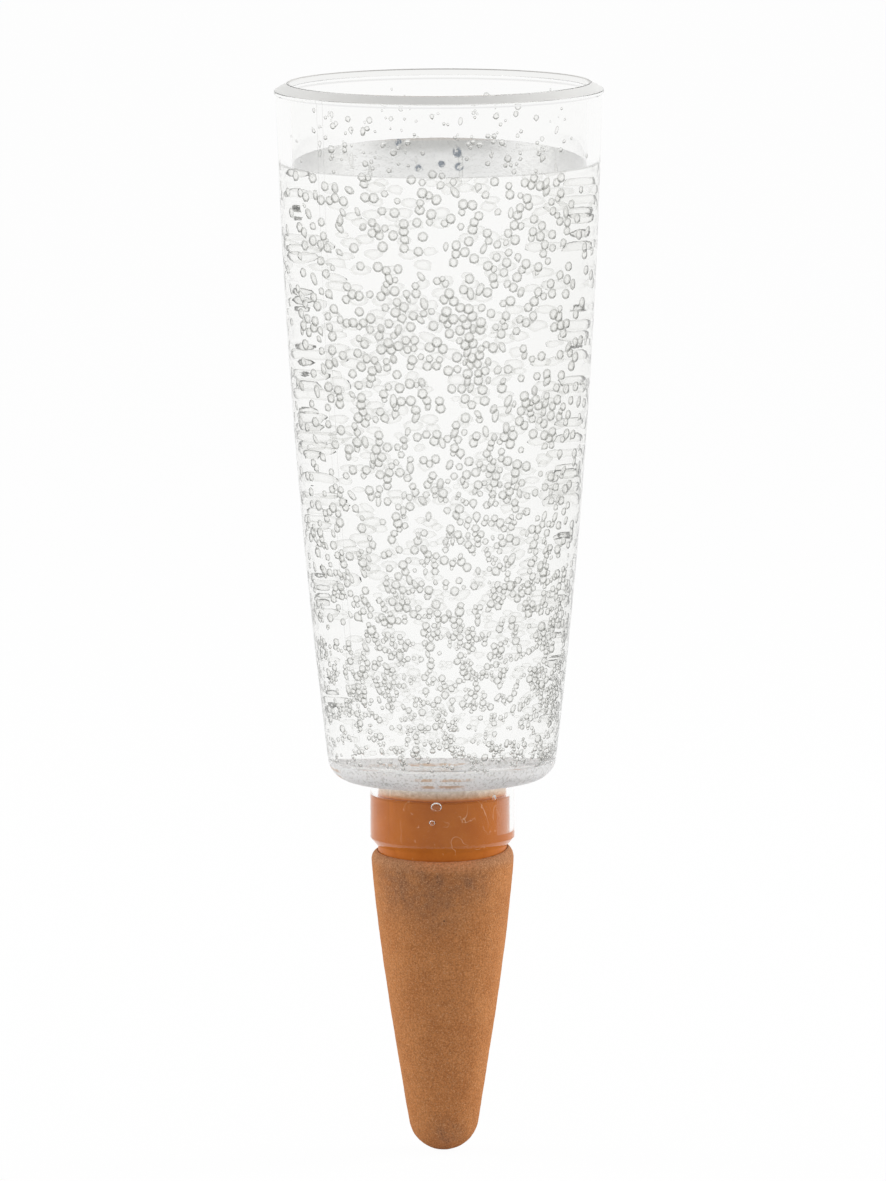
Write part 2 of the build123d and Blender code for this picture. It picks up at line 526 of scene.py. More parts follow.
def placeBubbles():
    draw = random.Random(bubbles["seed"])
    placed = []
    cells = {}
    steps = (-1, 0, 1)

    def cellOf(spot):
        return tuple(int(value // bubbles["cell"]) for value in spot)

    def isFree(spot, radius, grouped):
        x, y, z = cellOf(spot)
        around = [(x + i, y + j, z + k) for i in steps for j in steps for k in steps]
        share, gap = (bubbles["merge"], -touch) if grouped else (1, bubbles["apart"])
        near = [bubble for cell in around for bubble in cells.get(cell, ())]
        return all((other - spot).length > (size + radius) * share + gap for other, size in near)

    def tryBubble(angle, z, radius, grouped):
        room = cup["wall"] - 2 * (radius + bubbles["margin"])
        if room < 0 or not bubbles["lowest"] < z < bubbles["highest"] - radius:
            return False
        depth = wallRadius(z) - bubbles["margin"] - radius - draw.random() * room
        spot = Vector((depth * cos(angle), depth * sin(angle), z))
        if not isFree(spot, radius, grouped):
            return False
        placed.append((spot, radius))
        cells.setdefault(cellOf(spot), []).append((spot, radius))
        return True

    groups = 0
    while groups < bubbles["groups"]:
        z = draw.uniform(bubbles["lowest"], bubbles["highest"])
        angle = draw.uniform(0, tau)
        radius = bubbleRadius(draw, z)
        chance = bubbleDensity(angle, z) * wallRadius(z) / rimRadius
        if draw.random() > chance or not tryBubble(angle, z, radius, False):
            continue
        groups += 1
        heading = draw.uniform(0, tau)
        while draw.random() < bubbles["company"]:  # a chain of others grows with it
            heading += draw.uniform(-bubbles["wander"], bubbles["wander"])
            other = bubbleRadius(draw, z)
            reach = (radius + other) * bubbles["merge"]
            z += reach * sin(heading)
            angle += reach * cos(heading) / wallRadius(z)
            radius = other
            if draw.random() < bubbleDensity(angle, z):
                tryBubble(angle, z, radius, True)
    return placed


def copyBubble(shape, spot, halves, turn, material):
    copy = shape.copy()
    copy.data = shape.data.copy()
    copy.data.materials.append(material)
    bpy.context.collection.objects.link(copy)
    copy.location = Vector(spot) * mm
    copy.scale = [half * mm for half in halves]
    copy.rotation_euler = turn
    return copy


def detailOf(radius):
    if radius < bubbles["smallTo"]:
        return "small"
    return "coarse" if radius < bubbles["fineFrom"] else "fine"


def addBubbles(piece, skin, plain):
    draw = random.Random(bubbles["seed"] + 1)
    names, shares = zip(*bubbles["shapes"].items())
    shapes = {}
    for name in names:
        for size in ("fine", "coarse", "small"):
            shapes[name, size] = makeBubbleShape(name, *bubbles[size])
    shapes["round", "roundest"] = makeBubbleShape("round", *bubbles["roundest"])
    copies = []
    for spot, radius in placeBubbles():
        name = draw.choices(names, shares)[0]
        size = radius if name == "round" else radius * bubbles["shrink"]
        halves = [size * (1 - draw.uniform(0, bubbles["uneven"])) for _ in range(3)]
        lean = bubbles["lean"] + draw.gauss(0, bubbles["leanSpread"])
        turn = (draw.gauss(0, bubbles["leanSpread"]), lean, atan2(spot.y, spot.x))
        copies.append(copyBubble(shapes[name, detailOf(radius)], spot, halves, turn, skin))
    for _ in range(bubbles["floorCount"]):
        radius = draw.uniform(*bubbles["floorRadii"])
        fromHole, fromBase = bubbles["floorSpan"]
        away = draw.uniform(cup["hole"] + fromHole, cup["base"] + fromBase)
        angle = draw.uniform(0, tau)
        z = draw.uniform(underside + bubbles["floorMargin"], floorTop - bubbles["floorMargin"])
        spot = (away * cos(angle), away * sin(angle), z)
        shape = shapes["round", "coarse"]
        copies.append(copyBubble(shape, spot, (radius,) * 3, (0, 0, angle), plain))
    middle = boreRadius + cup["sleeveWall"] / 2
    for x, z, wide, tall, deep in bubbles["sleeve"]:
        angle = -acos(x / middle)
        spot = (x, middle * sin(angle), z)
        shape = shapes["round", "roundest"]
        copies.append(copyBubble(shape, spot, (deep, wide, tall), (0, 0, angle), plain))
    selectOnly(*copies)
    bpy.ops.object.transform_apply(location=True, rotation=True, scale=True)
    selectOnly(*copies, piece)
    bpy.ops.object.join()
    for shape in shapes.values():
        bpy.data.objects.remove(shape)
    return len(copies)


def bubbleSkin():
    # painted shade: soft grey rings stand in for light bending away at the edge of a hollow; the
    # hollows are faintly grey too
    material, tree, shader = clearMaterial("bubble skin", bubbles["bend"], bubbles["lamp"])
    ring = fade(tree, facingAway(tree), *bubbles["ring"])
    passed = addNode(tree, "LightPath").outputs["Transmission Depth"]
    far = ramp(tree, passed, *bubbles["far"])
    geometry = addNode(tree, "NewGeometry").outputs
    rise = placeOf(tree, geometry["Normal"])["Z"]
    outward = ramp(tree, geometry["Backfacing"], 0.0, 1.0, -1.0, 1.0)
    # painted shade: the ring is darker on each hollow's lower side
    foot = fade(tree, times(tree, rise, outward), *bubbles["foot"])
    near = mix(tree, foot, bubbles["ringShade"], bubbles["footShade"])
    grey = mix(tree, far, near, bubbles["farGrey"])
    hollow = mix(tree, far, bubbles["hollow"], bubbles["farHollow"])
    feed(tree, shader, {"Base Color": mix(tree, ring, hollow, grey)})
    return material


def clearPlastic():
    material, tree, shader = clearMaterial("clear plastic", plasticBend, cup["lamp"])
    spots = objectSpots(tree)
    place = placeOf(tree, spots)
    across = (cos(cup["seamTurn"]), sin(cup["seamTurn"]), 0)
    away = maths(tree, "ABSOLUTE", vectorValue(tree, "DOT_PRODUCT", spots, across))
    seam = fade(tree, away, *inMetres(cup["seamWidth"]), 1.0, 0.0)
    seam = times(tree, seam, ramp(tree, place["X"], 0.0, cup["seamFrom"] * mm))
    # painted shade: greyer down the right side, below the rim
    right = fade(tree, place["X"], *inMetres(cup["rightFrom"]))
    right = times(tree, right, ramp(tree, place["Z"], *inMetres(cup["rightTop"])))
    colour = mix(tree, right, cup["tint"], cup["rightShadeTint"])
    ripple = addGrain(tree, spots, *cup["ripple"])[1]
    feed(tree, shader, {
        "Base Color": mix(tree, seam, colour, cup["seamTint"]),
        "Normal": addBump(tree, ripple, *cup["rippleBump"]),
    })
    return material


def borePlastic(name, bend):
    return clearMaterial(name, bend, cup["lamp"])[0]


def frostedPlastic():
    material, tree, shader = clearMaterial("frosted plastic", plasticBend, cup["frostLamp"])
    spots = objectSpots(tree)
    mask, height = addGrain(tree, spots, *cup["frostGrain"])
    colour = mix(tree, ramp(tree, mask, 0.0, cup["frostWhite"]), *cup["frost"])
    # painted reflection: the plug gleams through in short ragged streaks
    ragged = addGrain(tree, spots, *cup["gleamGrain"])[0]
    ragged = ramp(tree, ragged, 0.0, cup["gleamRagged"])
    away = cup["base"] - cup["gleamIn"]
    rise = placeOf(tree, spots)["Z"]
    for z, reach in cup["gleamHeights"]:
        line = maths(tree, "SUBTRACT", rise, z * mm)
        line = maths(tree, "ABSOLUTE", line)
        line = fade(tree, line, *inMetres(cup["gleamWidth"]), 1.0, 0.0)
        near = 0.0
        for turn in cup["gleamTurns"]:
            place = (away * cos(turn), away * sin(turn), z)
            near = maths(tree, "MAXIMUM", nearSpot(tree, spots, place, reach), near)
        near = ramp(tree, near, 0.0, cup["gleamEnds"])
        line = times(tree, line, times(tree, near, ragged))
        colour = mix(tree, times(tree, line, cup["gleamShare"]), colour, cup["gleam"])
    feed(tree, shader, {
        "Base Color": colour,
        "Transmission Weight": 0.5,
        "Roughness": ramp(tree, mask, 0, 1, *cup["frostRough"]),
        "Normal": addBump(tree, height, *cup["frostBump"]),
    })
    return material


def rimPaintedShade():
    # painted shade: the slope is satin grey from above, darker at the sides, clear from inside
    material, tree, shader = newMaterial("rim plastic painted shade")
    spots = objectSpots(tree)
    mask = addGrain(tree, spots, *cup["rimGrain"])[0]
    across = maths(tree, "ABSOLUTE", placeOf(tree, spots)["X"])
    side = fade(tree, across, *inMetres(cup["rimSideFrom"]))
    # painted shade: grey slope, darker towards the sides
    grey = mix(tree, mask, *cup["rimShadeGrey"])
    feed(tree, shader, {
        "Base Color": mix(tree, side, grey, cup["rimSideShade"]),
        "Roughness": 0.5, "Specular IOR Level": 0.3,
    })
    inside = addNode(tree, "NewGeometry").outputs["Backfacing"]
    through = addNode(tree, "BsdfTransparent", {"Color": cup["rimInside"]}).outputs[0]
    seen = addNode(tree, "MixShader", {0: inside, 1: shader.outputs[0], 2: through})
    letLampsThrough(tree, seen, cup["rimLamp"])
    return material


def rimEdgePaintedShade():
    # painted shade: the rounded top edge shows as a thin grey line
    material, tree, shader = newMaterial("rim edge painted shade")
    feed(tree, shader, {"Base Color": cup["rimEdgeShade"], "Roughness": 0.4})
    letLampsThrough(tree, shader, cup["rimLamp"])
    return material


def finishCup(piece):
    finishes = {
        "plain": clearPlastic(), "frosted": frostedPlastic(), "rim": rimPaintedShade(),
        "wet": borePlastic("wet plastic", cup["wetBend"]),
        "damp": borePlastic("damp plastic", cup["dampBend"]),
        "edge": rimEdgePaintedShade(),
    }
    for material in finishes.values():
        piece.data.materials.append(material)
    rimRing = rimInner + cup["rimRound"]
    frostInner = sleeveRadius + cup["frostClear"]
    slopeLow, slopeHigh = cup["slopeFacing"]
    for face in piece.data.polygons:
        away = hypot(face.center.x, face.center.y) / mm
        z = face.center.z / mm
        up = face.normal.z
        finish = "plain"
        if up < cup["frostFacing"] and z < underside + cup["baseRound"] and away > frostInner:
            finish = "frosted"
        if z > lipZ + cup["slopeFrom"] and slopeLow < up < slopeHigh and away > rimRing:
            finish = "rim"
        elif z > rimTop - cup["rimRound"] and away < rimRing and up > cup["edgeFacing"]:
            finish = "edge"
        if away < boreRadius + touch and z < plugHigh.z:
            damp = face.center.x / mm > cup["dampFrom"] and z > cup["dampLow"]
            finish = "damp" if damp else "wet"
        face.material_index = list(finishes).index(finish)
    return finishes["plain"]


plainPlastic = finishCup(cupPiece)
print("bubbles placed", addBubbles(cupPiece, bubbleSkin(), plainPlastic))
print("cup triangles", sum(len(face.vertices) - 2 for face in cupPiece.data.polygons))
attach(cupPiece, "reservoir")
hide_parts("reservoir_cup")


# water that stands in the cup

water = {
    "steps": 144,
    "level": bubbles["waterLine"],
    "foot": 0.05,  # above the cup's underside
    "overlap": 0.15,  # into the plastic, so that light bends once on its way to the water
    "rows": 18,  # of the surface, from the axis to the wall
    "climb": 2.6,  # how far it climbs the wall at the back
    "climbPower": 2.2,
    "topFacing": 0.2, "tint": (0.995, 0.995, 0.992, 1), "lamp": (0.98, 0.98, 0.98, 1),
    # the surface, in painted shade and reflection: darker at the back, clear at the sides
    "topShadeGrey": (0.46, 0.465, 0.46, 1), "topBackShade": (0.13, 0.13, 0.12, 1), "backFrom": (4, 24),
    "topSide": (1, 1, 0.995, 1), "sideFrom": (8, 26),
    # painted shade: a thin dark line along the back
    "topEdgeShade": (0.2, 0.15, 0.11, 1),  # a thin line along the back
    "edgeFrom": (2.2, 2.4), "edgeShare": 0.6,
    "lowView": (0.45, 0.8),  # how edge-on it is seen, where the tints come in
    "coat": 0.8,  # brightens the sides
    "coatFrom": (0.3, 1.0),
    # painted dark reflections (gleams) in it
    "topDarkReflection": (0.03, 0.042, 0.06, 1), "darkBend": 1.03, "gleamStretch": (1.0, 0.2, 1.0),
    "gleamGrain": (300.0, 5.0), "gleamFrom": (0.75, 1.0), "gleamMiddle": (1, 0), "gleamReach": 15,
    "spots": [  # x, y, reach
        (-4.7, -15.0, 1.5), (0.5, -7.0, 1.3), (4.6, -12.5, 1.6), (4.3, 13.0, 1.7),
        (-10.0, 28.0, 1.2),
    ],
    "spotDepth": 0.13,  # they are long from front to back
    "spotGrain": (700.0, 5.0), "spotFrom": (0.05, 0.4), "spotRagged": (0.1, 0.5),
    # painted shade: a thin grey line in front, where the surface meets the cup
    "line": (0.6, 0.6, 0.59, 1), "lineFrom": (-0.4, -0.2), "lineFront": -6,
}


def makeWater():
    grow = water["overlap"]
    inset = cup["wall"] - grow
    level = water["level"]
    edge = wallRadius(level) - inset
    bottom = underside + water["foot"]
    floorZ = floorTop - grow
    hole = cup["hole"] + grow
    outline = [(edge * i / water["rows"], level) for i in range(water["rows"])]
    outline += wallPoints(level, floorZ, inset)
    outline += [(hole, floorZ), (hole, bottom), (0, bottom)]
    piece = drawOutline("water", outline, False)
    roundCorners(piece, [
        ((wallRadius(floorZ) - inset, floorZ), cup["floorRound"], 6),
        ((hole, floorZ), cup["holeRound"], 4),
    ])
    turnOutline(piece, water["steps"], smoothAngle=40)
    for vertex in piece.data.vertices:
        if vertex.co.z > level * mm - touch * mm:
            # 0 in front, 1 at the back
            share = min(1.0, max(0.0, (vertex.co.y / mm + edge) / (2 * edge)))
            top = level + water["climb"] * share ** water["climbPower"]
            wider = (wallRadius(top) - inset) / edge
            vertex.co = (vertex.co.x * wider, vertex.co.y * wider, top * mm)
    return piece


def waterTop():
    # painted shade and reflection: the surface is a shade darker than what lies behind it, with
    # painted dark gleams in the middle
    material, tree, shader = clearMaterial("water top", waterBend, water["lamp"])
    spots = objectSpots(tree)
    place = placeOf(tree, spots)
    streaks = stretched(tree, spots, water["gleamStretch"])
    gleam = addGrain(tree, streaks, *water["gleamGrain"])[0]
    gleam = fade(tree, gleam, *water["gleamFrom"])
    middle = (*water["gleamMiddle"], water["level"])
    gleam = times(tree, gleam, nearSpot(tree, spots, middle, water["gleamReach"]))
    flat = stretched(tree, spots, (1.0, water["spotDepth"], 0.0))
    ragged = addGrain(tree, flat, *water["spotGrain"])[0]
    for x, y, reach in water["spots"]:
        spot = nearSpot(tree, flat, (x, y * water["spotDepth"], 0), reach)
        spot = ramp(tree, spot, *water["spotFrom"])
        spot = times(tree, spot, ramp(tree, ragged, *water["spotRagged"]))
        gleam = maths(tree, "MAXIMUM", gleam, spot)
    across = maths(tree, "ABSOLUTE", place["X"])
    side = fade(tree, across, *inMetres(water["sideFrom"]))
    back = fade(tree, place["Y"], *inMetres(water["backFrom"]))
    rise = inMetres(water["edgeFrom"], water["level"])
    rise = fade(tree, place["Z"], *rise, 0.0, water["edgeShare"])
    colour = mix(tree, back, water["topShadeGrey"], water["topBackShade"])
    colour = mix(tree, side, colour, water["topSide"])
    colour = mix(tree, rise, colour, water["topEdgeShade"])
    # painted reflection: dark gleams and spots
    colour = mix(tree, gleam, colour, water["topDarkReflection"])
    # all of this fades out from above, where water is clear
    low = fade(tree, facingAway(tree), *water["lowView"])
    dark = times(tree, gleam, low)
    feed(tree, shader, {
        "Base Color": mix(tree, low, water["tint"], colour),
        "Coat Weight": ramp(tree, side, *water["coatFrom"], 0.0, water["coat"]),
        "IOR": ramp(tree, dark, 0.0, 1.0, waterBend, water["darkBend"]),
        "Coat IOR": 3.0, "Coat Roughness": 0.1,
    })
    return material


def waterSide():
    material, tree, shader = clearMaterial("water", waterBend, water["lamp"])
    place = placeOf(tree, objectSpots(tree))
    # painted shade: a grey line in front, at the water line
    line = fade(tree, place["Z"], *inMetres(water["lineFrom"], water["level"]))
    line = times(tree, line, ramp(tree, place["Y"], 0.0, water["lineFront"] * mm))
    feed(tree, shader, {"Base Color": mix(tree, line, water["tint"], water["line"])})
    return material


waterPiece = makeWater()
waterPiece.data.materials.append(waterSide())
waterPiece.data.materials.append(waterTop())
for face in waterPiece.data.polygons:
    high = face.center.z / mm > water["level"] - touch
    face.material_index = 1 if high and face.normal.z > water["topFacing"] else 0
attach(waterPiece, "reservoir")
print("water poured", len(waterPiece.data.polygons), "faces")


# the clay cone, hollow, with a rough unglazed skin

clay = {
    "steps": 256,
    "sideRows": 110, "domeRows": 22, "arcRows": 10, "shoulder": 1.6,
    "shoulderStart": 88,  # degrees
    "lipFoot": 15.37,
    "lipHeight": 1.3,  # at the sides, none in front
    "lipTilt": 0.4,  # higher on the right
    "lipRoot": 2.2,
    "tipRadius": 8.5,
    "topTaper": 4.5,  # degrees off the axis
    "tipTaper": 9.0,
    "socket": 12.0, "socketDepth": 13.5, "socketLand": 1.2, "ledge": 0.8, "coreRadius": 3.8,
    "tipWall": 6.0,
    # the rough skin: outside only, and not beside the plug
    "skinDepth": 2.0, "plugClear": 0.35, "plugLow": -0.3,
    "rough": [("lumps", 7.0, 0.14), ("dents", 2.2, 0.07), ("grains", 0.7, 0.07)],
    # colours
    "main": (0.485, 0.193, 0.066, 1), "pale": (0.595, 0.257, 0.095, 1), "broad": (130.0, 3.0),
    "streaks": (420.0, 3.0), "streakStretch": (1.0, 1.0, 0.06), "streakShare": 0.35,
    # painted light: the lighter patch at the front of the lip, near the plug
    "peachLight": (0.66, 0.28, 0.125, 1), "peachSpot": (0.5, -16.0, -0.8), "peachReach": 12,
    "peachFrom": 0.7, "lipTone": (0.45, 0.232, 0.125, 1), "lipToneShare": 0.7, "lipFrom": (-3.2, -0.2),
    "grey": (0.315, 0.15, 0.077, 1), "greyShare": 0.85, "blotches": (330.0, 4.5),
    "blotchLeast": 0.35,
    "greyPatches": [  # place and reach
        ((-10, -13, -6), 13), ((-3, -16, -8), 15), ((6, -15, -5), 9), ((-11, -12.5, -2.3), 5),
        ((-4.5, -16, -3.2), 5), ((-0.7, -16.5, -4.3), 6), ((12, 10, -7), 14),
        ((-6, 12, -30), 10), ((0.6, -7.2, -66.6), 6.5), ((-4, 5, -68), 6),
    ],
    "dark": (0.14, 0.072, 0.038, 1), "speckScale": 1100.0, "speckSize": (0.12, 0.3),
    "speckFrom": (0.3, 0.9), "speckShare": 0.75,
    "pits": [  # place and reach
        ((0.3, -15.5, -14.0), 0.42), ((-11.5, 9.0, -24.0), 0.3), ((8.0, -10.0, -33.0), 0.2),
    ],
    "pitCore": 0.4, "speckle": (2200.0, 3.2),
    "speckleTones": ((0.68, 0.635, 0.595, 1), (1.14, 1.14, 1.14, 1)),
    "chalk": (0.74, 0.44, 0.24, 1), "chalkGrain": (3300.0, 4.0), "chalkFrom": (0.7, 1.0),
    "chalkShare": 0.45, "bump": (0.6, 0.3),
}
coreZ = clayLow.z + clay["tipWall"] + clay["coreRadius"]  # where the cavity's dome begins
ledgeRadius = clay["socket"] - clay["ledge"]


def bezierPoints(start, startAngle, end, endAngle, rows):
    # a side whose ends lean by these angles off the axis
    reach = dist(start, end) / 3
    lean = [radians(startAngle), radians(endAngle)]
    first = (start[0] - reach * sin(lean[0]), start[1] - reach * cos(lean[0]))
    second = (end[0] + reach * sin(lean[1]), end[1] + reach * cos(lean[1]))
    corners = (start, first, second, end)
    points = []
    for i in range(rows + 1):
        t = i / rows
        weights = ((1 - t) ** 3, 3 * t * (1 - t) ** 2, 3 * t * t * (1 - t), t ** 3)
        points.append(tuple(sum(w * c[k] for w, c in zip(weights, corners)) for k in (0, 1)))
    return points


def clayCoreRadius(z):
    # inside of the clay
    if z > -clay["socketDepth"]:
        return clay["socket"]
    if z > coreZ:
        share = (z - coreZ) / (-clay["socketDepth"] - coreZ)
        return clay["coreRadius"] + share * (ledgeRadius - clay["coreRadius"])
    return 0.0


def makeClay():
    radius = clayHigh.x
    tip = clay["tipRadius"]
    domeZ = clayLow.z + tip
    lean = radians(clay["tipTaper"])
    domeStart = (tip * cos(lean), domeZ - tip * sin(lean))
    shoulder = clay["shoulder"]
    socket = clay["socket"]
    rows = clay["arcRows"]
    outline = arcPoints((0, coreZ), clay["coreRadius"], -90, 0, rows)
    outline += [(ledgeRadius, -clay["socketDepth"]), (socket, -clay["socketDepth"])]
    outline += [(socket, 0), (socket + clay["socketLand"], 0), (clay["lipFoot"], 0)]
    outline += arcPoints((radius - shoulder, -shoulder), shoulder, clay["shoulderStart"], 0, rows)
    side = bezierPoints(
        outline[-1], clay["topTaper"], domeStart, clay["tipTaper"], clay["sideRows"],
    )
    outline += side[1:]
    outline += arcPoints((0, domeZ), tip, -clay["tipTaper"], -90, clay["domeRows"])[1:]
    piece = drawOutline("clay-cone", outline, False)
    turnOutline(piece, clay["steps"], smoothAngle=40)
    for vertex in piece.data.vertices:  # the uneven lip
        x, y, z = vertex.co / mm
        if hypot(x, y) > clay["lipFoot"] + 2 * touch and z > -clay["lipRoot"]:
            lift = clay["lipHeight"] + clay["lipTilt"] * x / radius
            sideways = min(1, max(0, 1 + y / radius))
            vertex.co.z += lift * mm * sideways * (1 + z / clay["lipRoot"])
    skin = piece.vertex_groups.new(name="skin")
    for vertex in piece.data.vertices:
        z = vertex.co.z / mm
        away = hypot(vertex.co.x, vertex.co.y) / mm
        outside = away - clayCoreRadius(z) > clay["skinDepth"]
        besidePlug = z > clay["plugLow"] and away < clay["lipFoot"] + clay["plugClear"]
        if (outside or z < clayLow.z + clay["tipWall"] / 2) and not besidePlug:
            skin.add([vertex.index], 1.0, "REPLACE")
    for name, size, depth in clay["rough"]:
        texture = bpy.data.textures.new("clay " + name, type="CLOUDS")
        texture.noise_scale = size * mm
        texture.noise_depth = 2
        applyModifier(
            piece, "DISPLACE", texture=texture, texture_coords="LOCAL", direction="NORMAL",
            mid_level=1.0, strength=depth * mm, vertex_group="skin",
        )
    return piece


def clayMaterial():
    material, tree, shader = newMaterial("fired clay")
    spots = objectSpots(tree)
    broad = addGrain(tree, spots, *clay["broad"])[0]
    streaks = stretched(tree, spots, clay["streakStretch"])
    streaks = addGrain(tree, streaks, *clay["streaks"])[0]
    speckle, height = addGrain(tree, spots, *clay["speckle"])
    chalk = addGrain(tree, spots, *clay["chalkGrain"])[0]
    blotches = addGrain(tree, spots, *clay["blotches"])[0]
    colour = mix(tree, broad, clay["main"], clay["pale"])
    colour = mix(tree, times(tree, streaks, clay["streakShare"]), colour, clay["main"])
    # greyish darker patches, blotchy
    greyPatch = 0.0
    for place, reach in clay["greyPatches"]:
        greyPatch = maths(tree, "MAXIMUM", nearSpot(tree, spots, place, reach), greyPatch)
    blotchy = times(tree, greyPatch, ramp(tree, blotches, 0, 1, clay["blotchLeast"], 1.0))
    colour = mix(tree, times(tree, blotchy, clay["greyShare"]), colour, clay["grey"])
    # a pinkish tone round the lip, and in front a lighter patch of painted light near the plug
    top = fade(tree, placeOf(tree, spots)["Z"], *inMetres(clay["lipFrom"]))
    front = nearSpot(tree, spots, clay["peachSpot"], clay["peachReach"])
    peachLight = ramp(tree, front, 0.0, clay["peachFrom"])
    lip = mix(tree, peachLight, clay["lipTone"], clay["peachLight"])
    share = ramp(tree, front, 0.0, 1.0, clay["lipToneShare"], 1.0)
    colour = mix(tree, times(tree, top, share), colour, lip)
    # dark specks in the grey patches, and a few pits
    sockets = {"Vector": spots, "Scale": clay["speckScale"]}
    specks = addNode(tree, "TexVoronoi", sockets).outputs["Distance"]
    specks = fade(tree, specks, *clay["speckSize"], 1.0, 0.0)
    share = fade(tree, blotchy, *clay["speckFrom"], 0.0, clay["speckShare"])
    specks = times(tree, specks, share)
    for place, reach in clay["pits"]:
        pit = ramp(tree, nearSpot(tree, spots, place, reach), 0, clay["pitCore"])
        specks = maths(tree, "MAXIMUM", pit, specks)
    # fine grains, dark and light
    grains = mix(tree, speckle, *clay["speckleTones"])
    colour = mix(tree, 1.0, colour, grains, "MULTIPLY")
    chalk = fade(tree, chalk, *clay["chalkFrom"], 0.0, clay["chalkShare"])
    colour = mix(tree, chalk, colour, clay["chalk"])
    feed(tree, shader, {
        "Base Color": mix(tree, specks, colour, clay["dark"]),
        "Roughness": 0.88, "Specular IOR Level": 0.12,
        "Normal": addBump(tree, height, *clay["bump"]),
    })
    return material


clayPiece = makeClay()
clayPiece.data.materials.append(clayMaterial())
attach(clayPiece, "spike")
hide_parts("clay_cone")
print("clay made", len(clayPiece.data.polygons), "faces")


# finishes of the plug, the seal and the bond

plug = {
    "main": (0.5, 0.128, 0.007, 1), "pale": (0.57, 0.16, 0.014, 1),
    "broad": (160.0, 3.0), "speckle": (1500.0, 2.0), "speckleTone": (0.9, 0.88, 0.86, 1),
    "scratch": (0.78, 0.48, 0.27, 1), "scratchStretch": (1.0, 1.0, 0.6),
    "scratchNoise": {"Scale": 150.0, "Detail": 3.0, "Distortion": 1.2},
    "scratchWidth": (0.002, 0.008), "patches": (170.0, 6.0), "patchFrom": (0.6, 1.0),
    "patchShare": 0.7, "rough": (0.32, 0.48), "bump": (0.15, 0.2),
}


def plugMaterial():
    material, tree, shader = newMaterial("plug plastic")
    spots = objectSpots(tree)
    broad = addGrain(tree, spots, *plug["broad"])[0]
    speckle, height = addGrain(tree, spots, *plug["speckle"])
    colour = mix(tree, broad, plug["main"], plug["pale"])
    colour = mix(tree, speckle, colour, plug["speckleTone"], "MULTIPLY")
    # short pale scratches
    sockets = {"Vector": stretched(tree, spots, plug["scratchStretch"]), **plug["scratchNoise"]}
    wander = addNode(tree, "TexNoise", sockets).outputs["Fac"]
    line = maths(tree, "SUBTRACT", wander, noiseMiddle)
    line = maths(tree, "ABSOLUTE", line)
    line = fade(tree, line, *plug["scratchWidth"], 1.0, 0.0)
    patch = addGrain(tree, spots, *plug["patches"])[0]
    patch = fade(tree, patch, *plug["patchFrom"], 0.0, plug["patchShare"])
    feed(tree, shader, {
        "Base Color": mix(tree, times(tree, line, patch), colour, plug["scratch"]),
        "Roughness": ramp(tree, speckle, 0, 1, *plug["rough"]),
        "Specular IOR Level": 0.2,
        "Normal": addBump(tree, height, *plug["bump"]),
    })
    return material


seal = {
    "milky": ((0.68, 0.6, 0.5, 1), (0.9, 0.86, 0.8, 1)),
    # painted see-through: the plug's orange in the seal's lower part
    "warm": ((0.5, 0.24, 0.1, 1), (0.74, 0.46, 0.27, 1)),  # where the plug shows through
    "warmTo": (0.6, 3.2),  # heights over its foot
    "plugTo": (0.3, 1.2),
    "grain": (1000.0, 3.0), "rough": (0.35, 0.55), "bump": (0.3, 0.3),
    "lamp": (0.7, 0.66, 0.6, 1),
}


def sealMaterial():
    material, tree, shader = newMaterial("seal silicone")
    spots = objectSpots(tree)
    mask, height = addGrain(tree, spots, *seal["grain"])
    z = placeOf(tree, spots)["Z"]
    milky = mix(tree, mask, *seal["milky"])
    warm = mix(tree, mask, *seal["warm"])
    # painted see-through: warmer low down, and the plug's orange at the very foot
    low = fade(tree, z, *inMetres(seal["warmTo"], sealLow.z), 1.0, 0.0)
    lowest = fade(tree, z, *inMetres(seal["plugTo"], sealLow.z), 1.0, 0.0)
    colour = mix(tree, low, milky, warm)
    feed(tree, shader, {
        "Base Color": mix(tree, lowest, colour, plug["pale"]),
        "Roughness": ramp(tree, mask, 0, 1, *seal["rough"]),
        "Specular IOR Level": 0.3,
        "Normal": addBump(tree, height, *seal["bump"]),
    })
    letLampsThrough(tree, shader, seal["lamp"])
    return material


bond = {
    "tones": ((0.66, 0.61, 0.53, 1), (0.8, 0.75, 0.67, 1)),
    "grain": (500.0, 2.0), "bump": (0.3, 0.3),
}


def bondMaterial():
    material, tree, shader = newMaterial("bond")
    mask, height = addGrain(tree, objectSpots(tree), *bond["grain"])
    feed(tree, shader, {
        "Base Color": mix(tree, mask, *bond["tones"]),
        "Roughness": 0.7,
        "Normal": addBump(tree, height, *bond["bump"]),
    })
    return material


finishes = {"plug": plugMaterial(), "sealing_ring": sealMaterial(), "bond_ring": bondMaterial()}
for name, material in finishes.items():
    slots = frame["nodes"][name].data.materials
    slots.clear()
    slots.append(material)
print("finishes set")


# studio: white floor, soft light, camera

studio = {
    "floorSize": 60.0,
    "floorGlow": 0.97,  # share of the floor that shows plain white
    "skyMirrored": 0.93,  # brightness overhead, as gloss shows it
    "mirroredBy": 0.06,  # height at which the sky is that dark
    "skyThrough": 0.85,  # the same, through clear pieces
    "throughBy": 0.3, "ambient": 0.55,
    "lampSize": 0.7, "lampAway": 1.1, "lampBack": 0.35, "lampHeight": 0.5, "lampAim": (0, 0, 0.03),
    "lampPower": {"left": 9.0, "right": 11.5},
}


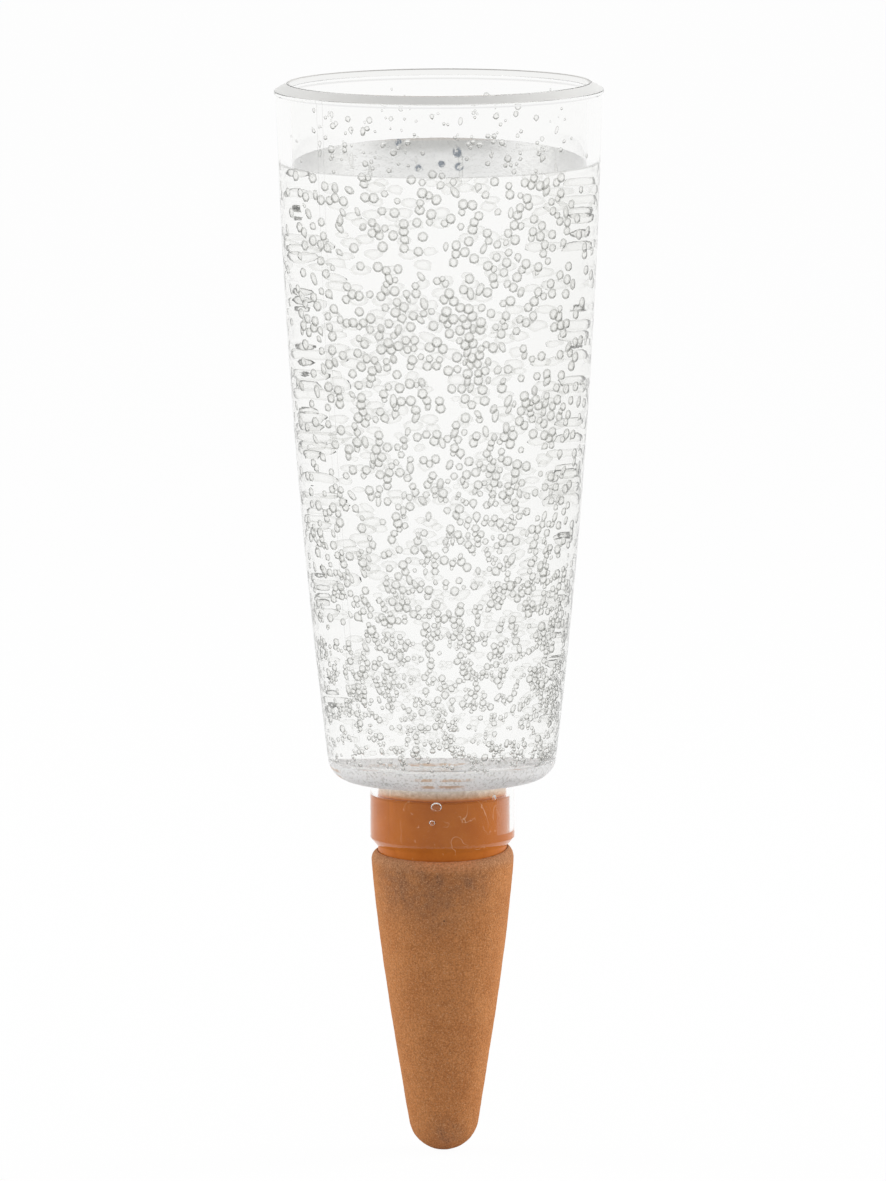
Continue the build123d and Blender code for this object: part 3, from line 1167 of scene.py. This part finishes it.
def makeFloor():
    selectOnly()
    bpy.ops.mesh.primitive_plane_add(size=studio["floorSize"], location=(0, 0, 0))
    floor = bpy.context.object
    floor.name = "floor"
    floor.location.z = cadBox[0].z
    bpy.ops.object.transform_apply(location=True)
    material, tree, shader = newMaterial("white floor")
    feed(tree, shader, {"Base Color": (0.85, 0.85, 0.85, 1), "Roughness": 0.9})
    path = addNode(tree, "LightPath").outputs
    seen = maths(tree, "MAXIMUM", path["Is Camera Ray"], path["Is Glossy Ray"])
    seen = maths(tree, "MAXIMUM", seen, path["Is Transmission Ray"])
    share = times(tree, seen, studio["floorGlow"])
    glow = addNode(tree, "Emission").outputs[0]
    mixed = addNode(tree, "MixShader", {0: share, 1: shader.outputs[0], 2: glow}).outputs[0]
    feed(tree, tree.nodes["Material Output"], {"Surface": mixed})
    floor.data.materials.append(material)


def makeWorld():
    world = bpy.data.worlds.new("studio")
    bpy.context.scene.world = world
    world.use_nodes = True
    tree = world.node_tree
    path = addNode(tree, "LightPath").outputs
    direction = addNode(tree, "TexCoord").outputs["Generated"]
    height = placeOf(tree, direction)["Z"]
    mirrored = fade(tree, height, 0.0, studio["mirroredBy"], 1.0, studio["skyMirrored"])
    through = fade(tree, height, 0.0, studio["throughBy"], 1.0, studio["skyThrough"])
    seen = studio["ambient"]
    levels = {"Is Glossy Ray": mirrored, "Is Transmission Ray": through, "Is Camera Ray": 1.0}
    for ray, level in levels.items():
        seen = addNode(tree, "Mix", {0: path[ray], 2: seen, 3: level}).outputs[0]
    feed(tree, tree.nodes["Background"], {"Color": white, "Strength": seen})


def aimAt(piece, aim):
    away = Vector(aim) - piece.location
    piece.rotation_euler = away.to_track_quat("-Z", "Y").to_euler()


def addLamp(name, place, power):
    selectOnly()
    bpy.ops.object.light_add(type="AREA", location=place)
    lamp = bpy.context.object
    lamp.name = name
    lamp.data.size = studio["lampSize"]
    lamp.data.energy = power
    aimAt(lamp, studio["lampAim"])
    lamp.visible_glossy = False
    lamp.visible_transmission = False
    lamp.visible_camera = False


view = {
    "place": (0.0004, -3.0, 0.459), "aim": (0.0004, 0.0, 0.0629), "lens": 388.7,
    "roll": 0.27,  # degrees, the top leans to the left
}


def makeCamera():
    bpy.ops.object.camera_add(location=view["place"])
    camera = bpy.context.object
    camera.name = "camera"
    aimAt(camera, view["aim"])
    camera.rotation_euler.rotate_axis("Z", radians(-view["roll"]))
    camera.data.lens = view["lens"]
    camera.data.sensor_width = 36.0
    camera.data.clip_end = 100.0
    bpy.context.scene.camera = camera


bounces = {  # clear walls, water and bubbles lie behind each other
    "max_bounces": 40, "transmission_bounces": 40, "glossy_bounces": 24,
    "transparent_max_bounces": 48, "caustics_refractive": False, "caustics_reflective": False,
}

makeFloor()
makeWorld()
for side, away in (("left", -studio["lampAway"]), ("right", studio["lampAway"])):
    place = (away, studio["lampBack"], studio["lampHeight"])
    addLamp("lamp " + side, place, studio["lampPower"][side])
makeCamera()
scene = bpy.context.scene
scene.view_settings.view_transform = "Standard"
for name, value in bounces.items():
    setattr(scene.cycles, name, value)
print("studio set")
